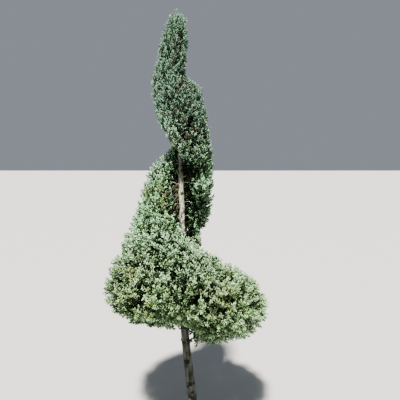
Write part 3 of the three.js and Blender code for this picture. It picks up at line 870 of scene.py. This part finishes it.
def tint_of_cords(cords, sprays):
    """The tint of each cord: paler towards the tips and the outside, darker inside, which is painted
    shade.
    """
    middle = (cords["foot"] + cords["tip"]) / 2
    depth = sum(in_crown(middle, cover).astype(float) for cover in TINT_DEPTHS)
    spray = cords["spray"]
    pale = TINT_AT_FOOT + TINT_ALONG * cords["along"] + TINT_TONE * sprays["tone"][spray]
    # Painted shade: fewer steps the deeper foliage covers a cord
    pale -= TINT_COVERED * depth
    pale += TINT_CHANCE * rng.normal(0, 1, len(pale))
    # Painted shade close to the trunk, below the column
    dull_shade = np.interp(np.linalg.norm(out_from_trunk(middle), axis=1), *DULL_SHADED_NEAR_TRUNK)
    # Painted light and shade by patches, and the painted shade near the trunk
    pale += painted_light_lift(middle) - dull_shade * np.interp(middle[:, 2], *DULL_SHADED_WHERE_WIDE)
    step = np.clip(np.floor(pale), 0, len(LADDER) - 1).astype(int)
    tint = np.array(LADDER, dtype=object)[step]
    gold = in_patch(sprays["root"], GOLD_PATCHES) & sprays["outer"]
    rust = in_patch(sprays["root"], RUST_PATCHES) & sprays["outer"]
    showing = (step >= 1) & (rng.random(len(step)) < ODD_CORDS)
    tint[gold[spray] & showing] = "gold"
    tint[rust[spray] & showing] = "rust"
    return tint


# Meshes from arrays

def mesh_piece(name, points, faces, material, nodes):
    """A new piece of the tree that stands for the named solids."""
    mesh = bpy.data.meshes.new(name)
    mesh.vertices.add(len(points))
    mesh.vertices.foreach_set("co", np.asarray(points, np.float32).ravel())
    corners = faces.shape[1]
    mesh.loops.add(faces.size)
    mesh.loops.foreach_set("vertex_index", faces.astype(np.int32).ravel())
    mesh.polygons.add(len(faces))
    mesh.polygons.foreach_set("loop_start", np.arange(len(faces), dtype=np.int32) * corners)
    mesh.polygons.foreach_set("loop_total", np.full(len(faces), corners, np.int32))
    mesh.update(calc_edges=True)
    mesh.polygons.foreach_set("use_smooth", np.full(len(faces), True))
    mesh.materials.append(material)
    piece = bpy.data.objects.new(name, mesh)
    bpy.context.scene.collection.objects.link(piece)
    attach(piece, "root")
    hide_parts(*nodes)


def cord_mesh(feet, tips, radii):
    """Closed three-sided cones, one for each cord, thickest at its foot."""
    frames = frames_along(unit(tips - feet), np.zeros(len(feet)))
    foot_ring = []
    for angle in (0, TURN / 3, 2 * TURN / 3):
        side = frames[:, :, 0] * math.cos(angle) + frames[:, :, 1] * math.sin(angle)
        foot_ring.append(feet + side * radii[:, None])
    points = np.stack([*foot_ring, tips], axis=1)
    corners = np.array([(0, 2, 1), (0, 1, 3), (1, 2, 3), (2, 0, 3)])
    faces = np.arange(len(feet))[:, None, None] * points.shape[1] + corners
    return points.reshape(-1, 3), faces.reshape(-1, 3)


def tube_mesh(line, radii, sides):
    """A closed tapering tube round a line; radii has a value for each ring, or ring and side."""
    line = np.asarray(line)
    tangents = unit(np.gradient(line, axis=0))
    reference = BACK if abs(tangents[0][2]) > STEEP else UP
    side = unit(np.cross(reference, tangents))
    other = np.cross(tangents, side)
    angles = np.arange(sides) * TURN / sides
    radii = np.broadcast_to(np.asarray(radii).reshape(len(line), -1), (len(line), sides))
    cos, sin = np.cos(angles)[None, :, None], np.sin(angles)[None, :, None]
    ways = side[:, None] * cos + other[:, None] * sin
    rings = line[:, None] + ways * radii[..., None]
    points = np.concatenate([rings.reshape(-1, 3), line[:1], line[-1:]])
    faces = []
    k = np.arange(sides)
    after = (k + 1) % sides
    for i in range(len(line) - 1):
        low, high = i * sides, (i + 1) * sides
        faces.append(np.stack([low + k, low + after, high + after], axis=1))
        faces.append(np.stack([low + k, high + after, high + k], axis=1))
    foot, head = len(line) * sides, len(line) * sides + 1
    last = (len(line) - 1) * sides
    faces.append(np.stack([np.full(sides, foot), after, k], axis=1))
    faces.append(np.stack([np.full(sides, head), last + k, last + after], axis=1))
    return points, np.concatenate(faces)


def joined(parts):
    """Several meshes as one pair of arrays."""
    points, faces, count = [], [], 0
    for part_points, part_faces in parts:
        points.append(part_points)
        faces.append(part_faces + count)
        count += len(part_points)
    return np.concatenate(points), np.concatenate(faces)


def nodes_of(levels):
    """Names of the solids of the masses on some levels."""
    return [mass["node"] for mass in masses if mass["level"] in levels]


# Finishes

def new_material(name, roughness):
    """A material and its shader."""
    material = bpy.data.materials.new(name)
    material.use_nodes = True
    shader = material.node_tree.nodes["Principled BSDF"]
    shader.inputs["Roughness"].default_value = roughness
    return material, shader


def ranged(tree, value, low, high, to_low=0.0, to_high=1.0):
    """A value that runs from one figure to another while the given value runs through its range."""
    spread = tree.nodes.new("ShaderNodeMapRange")
    limits = {"From Min": low, "From Max": high, "To Min": to_low, "To Max": to_high}
    for slot, limit in limits.items():
        spread.inputs[slot].default_value = limit
    tree.links.new(value, spread.inputs["Value"])
    return spread.outputs["Result"]


def combined(tree, operation, first, second):
    """Two values put together."""
    both = tree.nodes.new("ShaderNodeMath")
    both.operation = operation
    tree.links.new(first, both.inputs[0])
    tree.links.new(second, both.inputs[1])
    return both.outputs["Value"]


def laid_over(tree, share, under):
    """A mix that covers a colour by a share; the colour over it is still to be given."""
    mix = tree.nodes.new("ShaderNodeMix")
    mix.data_type = "RGBA"
    tree.links.new(share, mix.inputs["Factor"])
    tree.links.new(under, mix.inputs[MIX_UNDER])
    return mix


def mottle_group():
    """Two colours mixed by fine mottling, with its height for a bump."""
    group = bpy.data.node_groups.new("fine_mottle", "ShaderNodeTree")
    for name, way, kind in (
        ("Dark", "INPUT", "NodeSocketColor"),
        ("Light", "INPUT", "NodeSocketColor"),
        ("Scale", "INPUT", "NodeSocketFloat"),
        ("Stretch", "INPUT", "NodeSocketVector"),
        ("Color", "OUTPUT", "NodeSocketColor"),
        ("Height", "OUTPUT", "NodeSocketFloat"),
    ):
        group.interface.new_socket(name, in_out=way, socket_type=kind)
    nodes, links = group.nodes, group.links
    inward, outward = nodes.new("NodeGroupInput"), nodes.new("NodeGroupOutput")
    place, stretch = nodes.new("ShaderNodeTexCoord"), nodes.new("ShaderNodeVectorMath")
    stretch.operation = "MULTIPLY"
    links.new(place.outputs["Object"], stretch.inputs[0])
    links.new(inward.outputs["Stretch"], stretch.inputs[1])
    texture = nodes.new("ShaderNodeTexNoise")
    texture.inputs["Detail"].default_value = MOTTLE_DETAIL
    texture.inputs["Roughness"].default_value = MOTTLE_ROUGHNESS
    links.new(stretch.outputs["Vector"], texture.inputs["Vector"])
    links.new(inward.outputs["Scale"], texture.inputs["Scale"])
    share = ranged(group, texture.outputs["Fac"], *MOTTLE_SPREAD)
    mix = laid_over(group, share, inward.outputs["Dark"])
    links.new(inward.outputs["Light"], mix.inputs[MIX_OVER])
    links.new(mix.outputs[MIX_RESULT], outward.inputs["Color"])
    links.new(texture.outputs["Fac"], outward.inputs["Height"])
    return group


fine_mottle = mottle_group()


def mottled(tree, dark, light, scale, stretch):
    """The mottling placed with its own colours, scale and stretch."""
    mottle = tree.nodes.new("ShaderNodeGroup")
    mottle.node_tree = fine_mottle
    mottle.inputs["Dark"].default_value = (*dark, 1)
    mottle.inputs["Light"].default_value = (*light, 1)
    mottle.inputs["Scale"].default_value = scale
    mottle.inputs["Stretch"].default_value = stretch
    return mottle


def raise_by(tree, height, shader, distance):
    """Raises a surface by the height of its pattern."""
    relief = tree.nodes.new("ShaderNodeBump")
    relief.inputs["Strength"].default_value = BUMP_STRENGTH
    relief.inputs["Distance"].default_value = distance
    tree.links.new(height, relief.inputs["Height"])
    tree.links.new(relief.outputs["Normal"], shader.inputs["Normal"])


def foliage_finish(region, tint):
    """Scale leaves with their waxy bloom, in one tint of one region, with that region's painted
    light and shade.
    """
    material, shader = new_material(f"{region}_leaves_{tint}", LEAF_ROUGHNESS)
    tree = material.node_tree
    # The region's scale holds its cooler bloom high up and its painted light and shade
    dark, light = np.minimum(np.array(TINTS[tint]) * REGION_BLOOM_AND_LIGHT[region], PALEST)
    mottle = mottled(tree, dark, light, LEAF_MOTTLE_SCALE, LEAF_STRETCH)
    raise_by(tree, mottle.outputs["Height"], shader, LEAF_BUMP)
    tree.links.new(mottle.outputs["Color"], shader.inputs["Base Color"])
    shader.inputs["Specular IOR Level"].default_value = LEAF_GLOSS
    return material


def peeled_and_lit_stretch(tree, colour, flakes):
    """The stretch of trunk in the groove whose flakes have come off, down to the cream bark, which
    is painted light on its sunlit stretch; the trunk is also painted paler upwards, as painted light
    on its shade.
    """
    place, split = tree.nodes.new("ShaderNodeTexCoord"), tree.nodes.new("ShaderNodeSeparateXYZ")
    tree.links.new(place.outputs["Object"], split.inputs["Vector"])
    height = split.outputs["Z"]
    low_fade, high_fade = PEELED_LIT_FADES
    above = ranged(tree, height, PEELED_LIT_LOW - low_fade, PEELED_LIT_LOW)
    below = ranged(tree, height, PEELED_LIT_HIGH + high_fade, PEELED_LIT_HIGH)
    within = combined(tree, "MULTIPLY", above, below)
    peeled_and_lit = combined(tree, "MULTIPLY", within, ranged(tree, flakes, *FLAKES_LEFT))
    share = combined(tree, "MAXIMUM", peeled_and_lit, ranged(tree, height, *PAINTED_LIGHT_UPWARDS))
    cream = mottled(tree, *CREAM_LIT_BARK, CREAM_STRETCH)
    mix = laid_over(tree, share, colour)
    tree.links.new(cream.outputs["Color"], mix.inputs[MIX_OVER])
    return mix.outputs[MIX_RESULT]


def bark_finish(name, peeled_and_lit=False):
    """Flaking bark: upright streaks, with dark flakes over the pale inner bark."""
    dark, light, scale = BARKS[name]
    material, shader = new_material(name, BARK_ROUGHNESS)
    tree = material.node_tree
    mottle = mottled(tree, dark, light, scale, BARK_STRETCH)
    raise_by(tree, mottle.outputs["Height"], shader, BARK_BUMP)
    place, flakes = tree.nodes.new("ShaderNodeTexCoord"), tree.nodes.new("ShaderNodeTexNoise")
    flakes.inputs["Scale"].default_value = scale * FLAKE_SCALE
    flakes.inputs["Detail"].default_value = FLAKE_DETAIL
    tree.links.new(place.outputs["Object"], flakes.inputs["Vector"])
    mix = laid_over(tree, ranged(tree, flakes.outputs["Fac"], *FLAKE_EDGE), mottle.outputs["Color"])
    mix.inputs[MIX_OVER].default_value = (*(FLAKE_DARKNESS * value for value in dark), 1)
    colour = mix.outputs[MIX_RESULT]
    # Painted light: the cream of the sunlit stretch, and the trunk paler upwards
    if peeled_and_lit:
        colour = peeled_and_lit_stretch(tree, colour, flakes.outputs["Fac"])
    tree.links.new(colour, shader.inputs["Base Color"])
    shader.inputs["Specular IOR Level"].default_value = BARK_GLOSS
    return material


# Trunk, boughs, stems and snags

def bark_pattern(place, amount, across, along, start):
    """Height of one of the bark's patterns at a place, as a share of the limb's radius."""
    x, y, z = place
    return amount * noise.noise(Vector((x * across + start[0], y * across + start[1], z * along)))


def bark_relief(places, radius):
    """How far the bark stands out of a limb: streaks, flakes and lumps."""
    relief = np.empty(len(places))
    for i, place in enumerate(places):
        flakes = max(0.0, bark_pattern(place, **FLAKES))
        relief[i] = bark_pattern(place, **STREAKS) + flakes + bark_pattern(place, **LUMPS)
    return relief * radius


def build_trunk(material):
    """The trunk with its bark, and a collar at the foot of each branch and round each scar."""
    heights = TRUNK_TOP * np.linspace(0, 1, TRUNK_RINGS + 1)
    line = np.concatenate([trunk_centre(heights), heights[:, None]], axis=1)
    points, faces = tube_mesh(line, np.ones(len(line)), TRUNK_SIDES)
    rings = points[:-2].reshape(len(line), TRUNK_SIDES, 3)
    ways = rings - line[:, None]
    angles = np.arctan2(ways[..., 1], ways[..., 0])
    radius = trunk_radius(heights)[:, None] + flare_radius(heights[:, None], angles)
    smooth = line[:, None] + ways * radius[..., None]
    relief = bark_relief(smooth.reshape(-1, 3), np.repeat(radius.mean(axis=1), TRUNK_SIDES))
    radius = radius + relief.reshape(radius.shape)
    radius = radius + branch_collars(heights, angles) + knot_collars(heights, angles)
    rings = line[:, None] + ways * radius[..., None]
    points[:-2] = rings.reshape(-1, 3)
    points[:TRUNK_SIDES, 2] = 0.0
    points[:, 2] = np.maximum(points[:, 2], 0.0)
    mesh_piece("trunk_bark", points, faces, material, ["trunk"])


def turned_from(angle, angles):
    """How far angles are turned from another one, either way round."""
    return (angles - angle + math.pi) % TURN - math.pi


def branch_collars(heights, angles):
    """Swellings of the trunk where the boughs and stems leave it."""
    swelling = np.zeros(angles.shape)
    for mass in masses[:-1]:
        start, end = mass["line"][0], mass["line"][-1]
        around = math.atan2(end[1] - start[1], end[0] - start[0])
        radius = trunk_radius(start[2])
        above = (heights[:, None] - (start[2] + COLLAR_RISE * radius)) / radius
        aside = turned_from(around, angles) / COLLAR_ARC
        swelling += COLLAR_SWELLING * radius * np.exp(-(above ** 2 + aside ** 2))
    return swelling


def knot_collars(heights, angles):
    """Swellings of the trunk round its pruning scars."""
    swelling = np.zeros(angles.shape)
    for height, angle in KNOTS:
        around = turned_from(angle, angles) * trunk_radius(height)
        distance = (heights[:, None] - height) ** 2 + around ** 2
        swelling += KNOT_COLLAR * np.exp(-distance / KNOT_SPREAD ** 2)
    return swelling


def build_knots(material):
    """A low dome of dark wood in each pruning scar."""
    parts = []
    for height, angle in KNOTS:
        out = np.array([math.cos(angle), math.sin(angle), 0.0])
        surface = np.array([*trunk_centre(height), height]) + out * trunk_radius(height)
        line = [surface + out * rise for rise, _ in KNOT_DOME]
        radii = [KNOT_RADIUS * share for _, share in KNOT_DOME]
        parts.append(tube_mesh(line, radii, KNOT_SIDES))
    points, faces = joined(parts)
    mesh_piece("trunk_knots", points, faces, material, ["trunk"])


def limb_part(line, radii):
    """A limb with bark relief, from inside the trunk to its end."""
    share = np.linspace(0, 1, len(line))
    radius = radii[0] + (radii[1] - radii[0]) * share
    points, faces = tube_mesh(line, radius, LIMB_SIDES)
    middle = np.repeat(line, LIMB_SIDES, axis=0)
    ways = points[:-2] - middle
    relief = bark_relief(points[:-2], np.repeat(radius, LIMB_SIDES)) * LIMB_RELIEF
    points[:-2] += unit(ways) * relief[:, None]
    return points, faces


def build_limbs(material):
    """Boughs one by one, and the stems of the other masses joined by region."""
    bough_count = 0
    stems = {region: [] for region in REGIONS}
    for mass in masses[:-1]:
        if on_bough(mass):
            bough_count += 1
            name = f"bough_{bough_count}"
            points, faces = limb_part(mass["line"], BOUGH_RADII)
            mesh_piece(f"{name}_bark", points, faces, material, [name])
        else:
            region = next(name for name, levels in REGIONS.items() if mass["level"] in levels)
            stems[region].append(limb_part(mass["line"], STEM_RADII))
    for region, parts in stems.items():
        if parts:
            points, faces = joined(parts)
            mesh_piece(f"{region}_stems", points, faces, material, nodes_of(REGIONS[region]))


def build_snags(material):
    """The snags, each one a little wavy."""
    t = np.linspace(0, 1, LIMB_POINTS)[:, None]
    for i, snag in enumerate(SNAGS):
        start, end = snag_ends(*snag)
        sway = np.sin(t * SNAG_WAVES + i) * SNAG_SWAY * UP
        points, faces = limb_part(start + (end - start) * t + sway, SNAG_RADII)
        mesh_piece(f"snag_{i + 1}_bark", points, faces, material, [f"snag_{i + 1}"])


def build_groove_twigs(material):
    """Thin bare twigs that droop from the trunk into the front of the groove."""
    chance = np.random.default_rng(SEED + GROOVE_TWIGS)
    t = np.linspace(0, 1, LIMB_POINTS)[:, None]
    radii = np.linspace(*GROOVE_TWIG_RADII, LIMB_POINTS)
    parts = []
    for height in np.linspace(*GROOVE_TWIG_HEIGHTS, GROOVE_TWIGS):
        angle = chance.uniform(*GROOVE_TWIG_ANGLES)
        way = np.array([math.cos(angle), math.sin(angle), -chance.uniform(*GROOVE_TWIG_DROOPS)])
        length = chance.uniform(*GROOVE_TWIG_LENGTHS)
        start = np.array([*trunk_centre(height), height])
        sway = GROOVE_TWIG_SWAY * length * np.sin(t * TURN) * chance.normal(0, 1, 3)
        parts.append(tube_mesh(start + way * length * t + sway, radii, GROOVE_TWIG_SIDES))
    points, faces = joined(parts)
    mesh_piece("groove_twigs", points, faces, material, nodes_of(REGIONS["middle"]))


# Twigs: each tuft is reached from the nearest wood that lies nearer to the seed

def twig_parts(places, ways, owners):
    """Thin twigs of each mass as lists of meshes; the first leave its branch's outer half."""
    parts = [[] for _ in masses]
    for own, mass in enumerate(masses):
        members = np.flatnonzero(owners == own)
        order = members[np.argsort(np.linalg.norm(places[members] - mass["seed"], axis=1))]
        wood = list(mass["line"][LIMB_POINTS // 2:]) if own < len(masses) - 1 else [mass["seed"]]
        wood = [np.array(point) for point in wood]
        for index in order:
            end = places[index] - ways[index] * TWIG_END_BACK
            known = np.array(wood)
            inner = np.linalg.norm(known - mass["seed"], axis=1)
            cost = np.linalg.norm(known - end, axis=1) + TWIG_INWARD_COST * inner
            start = known[np.argmin(cost)]
            span = np.linalg.norm(end - start)
            if span < MARCH_STEP:
                continue
            knots = max(2, int(span / TWIG_KNOT_SPACING) + 1)
            t = np.linspace(0, 1, knots + 1)[:, None]
            sag = TWIG_SAG * span * np.sin(t * math.pi) * rng.normal(0, TWIG_SAG_WANDER, 3)
            line = start + (end - start) * t + sag
            radii = np.linspace(*TWIG_RADII, knots + 1)
            parts[own].append(tube_mesh(line, radii, TWIG_SIDES))
            wood.extend(line[1:])
    return parts


def foliage_cords(places, ways, owners, shows):
    """Cords of the whole crown, each with its tint and the level of its mass."""
    sprays = tuft_sprays(places, ways, owners, shows)
    on_snag = snag_sprays()
    sprays = {name: np.concatenate([values, on_snag[name]]) for name, values in sprays.items()}
    sets = [cords_of_sprays(sprays, outer) for outer in (True, False)]
    cords = {name: np.concatenate([rows[name] for rows in sets]) for name in sets[0]}
    tints = tint_of_cords(cords, sprays)
    level_of = np.array([mass["level"] for mass in masses])
    levels = level_of[sprays["owner"][cords["spray"]]]
    leaders = leader_cords()
    cords = {name: np.concatenate([cords[name], leaders[name]]) for name in CORD_SHAPE}
    tints = np.concatenate([tints, leaders["tint"]])
    levels = np.concatenate([levels, np.full(len(leaders["tint"]), "tip")])
    return cords, tints, levels


def build_foliage(wood_material):
    """Grows the tufts, twigs and sprays, and joins them by region and tint."""
    places, ways, owners, shows = grow_tufts()
    cords, tints, level = foliage_cords(places, ways, owners, shows)
    twigs = twig_parts(places, lifted(ways, places[:, 2]), owners)
    for region, levels in REGIONS.items():
        within = np.isin(level, levels)
        nodes = nodes_of(levels)
        for tint in TINTS:
            chosen = np.flatnonzero(within & (tints == tint))
            if len(chosen) == 0:
                continue
            points, faces = cord_mesh(*(cords[name][chosen] for name in CORD_SHAPE))
            finish = foliage_finish(region, tint)
            mesh_piece(f"{region}_leaves_{tint}", points, faces, finish, nodes)
        lists = [twigs[own] for own, mass in enumerate(masses) if mass["level"] in levels]
        points, faces = joined([part for parts in lists for part in parts])
        mesh_piece(f"{region}_twigs", points, faces, wood_material, nodes)


# Stage

def build_floor():
    """A pale floor that runs out of the view."""
    half = FLOOR_HALF
    mesh = bpy.data.meshes.new("floor")
    corners = [(-half, -half, 0), (half, -half, 0), (half, half, 0), (-half, half, 0)]
    mesh.from_pydata(corners, [], [(0, 1, 2, 3)])
    material, shader = new_material("floor_paint", FLOOR_ROUGHNESS)
    shader.inputs["Base Color"].default_value = (*FLOOR_COLOUR, 1)
    mesh.materials.append(material)
    floor = bpy.data.objects.new("floor", mesh)
    bpy.context.scene.collection.objects.link(floor)


def build_light():
    """A pale fill from all round, and a soft sun from high in front, a little to the left."""
    world = bpy.data.worlds.new("studio")
    bpy.context.scene.world = world
    world.use_nodes = True
    background = world.node_tree.nodes["Background"]
    background.inputs["Color"].default_value = (*FILL_COLOUR, 1)
    background.inputs["Strength"].default_value = FILL_STRENGTH
    key_light = bpy.data.lights.new("key", "SUN")
    key_light.energy = KEY_STRENGTH
    key_light.angle = KEY_SOFTNESS
    key_light.color = KEY_COLOUR
    key = bpy.data.objects.new("key", key_light)
    key.rotation_euler = Vector(KEY_FROM).to_track_quat("Z", "Y").to_euler()
    bpy.context.scene.collection.objects.link(key)


def build_camera():
    """The camera at the height of the eye, pitched down a little."""
    scene = bpy.context.scene
    camera_data = bpy.data.cameras.new("camera")
    camera_data.lens = CAMERA_LENS
    camera_data.sensor_width = SENSOR_WIDTH
    camera = bpy.data.objects.new("camera", camera_data)
    camera.location = CAMERA_PLACE
    camera.rotation_euler = (math.radians(90 - CAMERA_PITCH), 0, 0)
    scene.collection.objects.link(camera)
    scene.camera = camera
    scene.view_settings.look = VIEW_LOOK


# The whole tree

for mass in masses[:-1]:
    mass["line"] = branch_line(mass["seed"], mass["rise"] if on_bough(mass) else STEM_RISE)

build_floor()
build_light()
build_camera()
# The trunk's bark, with its painted light and shade by height
build_trunk(bark_finish("trunk_bark", peeled_and_lit=True))
build_knots(bark_finish("knot_wood"))
limb_bark = bark_finish("limb_bark")
bare_twig = bark_finish("bare_twig")
build_limbs(limb_bark)
build_snags(bare_twig)
build_groove_twigs(limb_bark)
build_foliage(limb_bark)
